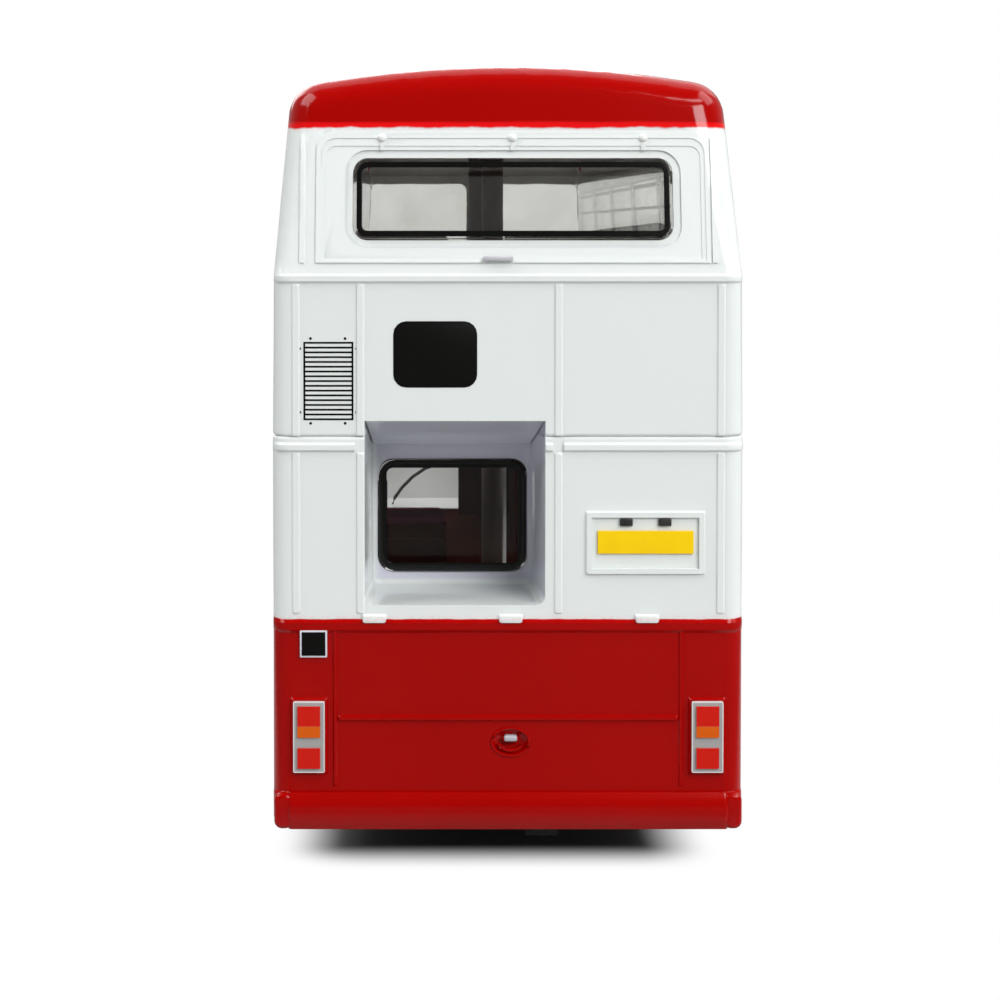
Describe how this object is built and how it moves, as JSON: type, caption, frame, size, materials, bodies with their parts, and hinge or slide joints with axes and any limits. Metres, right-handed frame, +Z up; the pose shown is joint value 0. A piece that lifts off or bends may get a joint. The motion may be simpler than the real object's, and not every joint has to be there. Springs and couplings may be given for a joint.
{
  "type": "double decker bus",
  "caption": "Die-cast 1:76 model of a rear-engined double-decker bus, with clear glazing, moulded saloons, a screwed-on chassis and freely rolling wheels.",
  "frame": {"origin": "on the ground under the centre of the bus's bounding box", "axes": "+Y forward along the bus, +X to its right-hand side, +Z up"},
  "size_m": [0.038, 0.127, 0.0581],
  "materials": {
    "body_paint": "gloss white with red roof and skirt",
    "clear_plastic": "clear moulding",
    "black_rim": "printed black window rubber",
    "seat_brown": "moulded brown",
    "base_black": "moulded black",
    "steel": "plain steel",
    "tyre_black": "soft black",
    "hub_silver": "silver painted",
    "lamp_silver": "silver housing with red and orange lenses",
    "headlamp_silver": "silver",
    "indicator_orange": "orange lens",
    "plate_yellow": "blank yellow",
    "plate_white": "blank white",
    "display_black": "blank black glass",
    "trim_black": "moulded black",
    "trim_grey": "grey paint",
    "door_grey": "pale grey frames"
  },
  "bodies": {
    "root": {"upper_body": "body_paint", "lower_body": "body_paint", "upper_glazing": "clear_plastic", "lower_glazing": "clear_plastic", "upper_window_seals": "black_rim", "lower_window_seals": "black_rim", "upper_saloon": "seat_brown", "lower_saloon": "seat_brown", "chassis": "base_black", "rear_left_lamp": "lamp_silver", "rear_right_lamp": "lamp_silver", "headlamps": "headlamp_silver", "front_indicators": "indicator_orange", "plate_lamps": "trim_black", "front_display": "display_black", "side_display": "display_black", "left_mirror": "trim_black", "right_mirror": "trim_black", "wipers": "trim_black", "bonnet_catch": "body_paint", "rear_door_handle": "trim_grey", "rear_column": "seat_brown", "front_column": "seat_brown", "rear_screw": "steel", "front_screw": "steel", "front_door": "door_grey", "exit_door": "door_grey", "rear_number_plate": "plate_yellow", "front_number_plate": "plate_white", "steering_wheel": "trim_black"},
    "front_wheels": {"front_axle": "steel", "front_left_hub": "hub_silver", "front_right_hub": "hub_silver", "front_left_tyre": "tyre_black", "front_right_tyre": "tyre_black"},
    "rear_wheels": {"rear_axle": "steel", "rear_left_hub": "hub_silver", "rear_right_hub": "hub_silver", "rear_left_tyres": "tyre_black", "rear_right_tyres": "tyre_black"}
  },
  "joints": [
    {"name": "front_axle_spin", "type": "hinge", "parent": "root", "child": "front_wheels", "pos_m": [0, 0.0334, 0.0065], "axis": [1, 0, 0], "continuous": true},
    {"name": "rear_axle_spin", "type": "hinge", "parent": "root", "child": "rear_wheels", "pos_m": [0, -0.0318, 0.0065], "axis": [1, 0, 0], "continuous": true}
  ]
}
